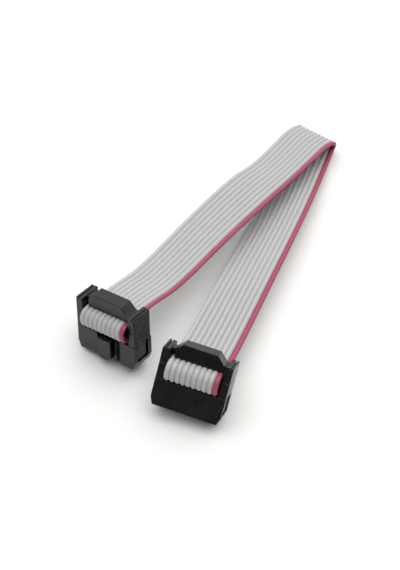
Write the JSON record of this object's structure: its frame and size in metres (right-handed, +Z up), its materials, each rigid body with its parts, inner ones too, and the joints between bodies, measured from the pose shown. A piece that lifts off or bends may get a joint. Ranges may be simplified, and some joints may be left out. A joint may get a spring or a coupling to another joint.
{
  "type": "ribbon cable",
  "caption": "Flat grey ribbon cable with a red marked edge, lying in a loose fold, with a keyed dark socket connector and strain relief clamped on each end for pin headers.",
  "frame": {"origin": "middle of the footprint, on the table", "axes": "+Z up from the table, +Y from the connectors to the fold, +X to the right seen from the connectors"},
  "size_m": [0.0648, 0.0972, 0.0185],
  "materials": {
    "grey_insulation": "satin",
    "red_insulation": "satin",
    "connector_plastic": "satin",
    "contact_metal": "plated"
  },
  "bodies": {
    "root": {"grey_ribbon": "grey_insulation", "red_edge": "red_insulation", "left_socket_body": "connector_plastic", "left_cover": "connector_plastic", "left_strain_relief": "connector_plastic", "left_contact_1": "contact_metal", "left_contact_2": "contact_metal", "left_contact_3": "contact_metal", "left_contact_4": "contact_metal", "left_contact_5": "contact_metal", "left_contact_6": "contact_metal", "left_contact_7": "contact_metal", "left_contact_8": "contact_metal", "left_contact_9": "contact_metal", "left_contact_10": "contact_metal", "right_socket_body": "connector_plastic", "right_cover": "connector_plastic", "right_strain_relief": "connector_plastic", "right_contact_1": "contact_metal", "right_contact_2": "contact_metal", "right_contact_3": "contact_metal", "right_contact_4": "contact_metal", "right_contact_5": "contact_metal", "right_contact_6": "contact_metal", "right_contact_7": "contact_metal", "right_contact_8": "contact_metal", "right_contact_9": "contact_metal", "right_contact_10": "contact_metal"}
  },
  "joints": []
}
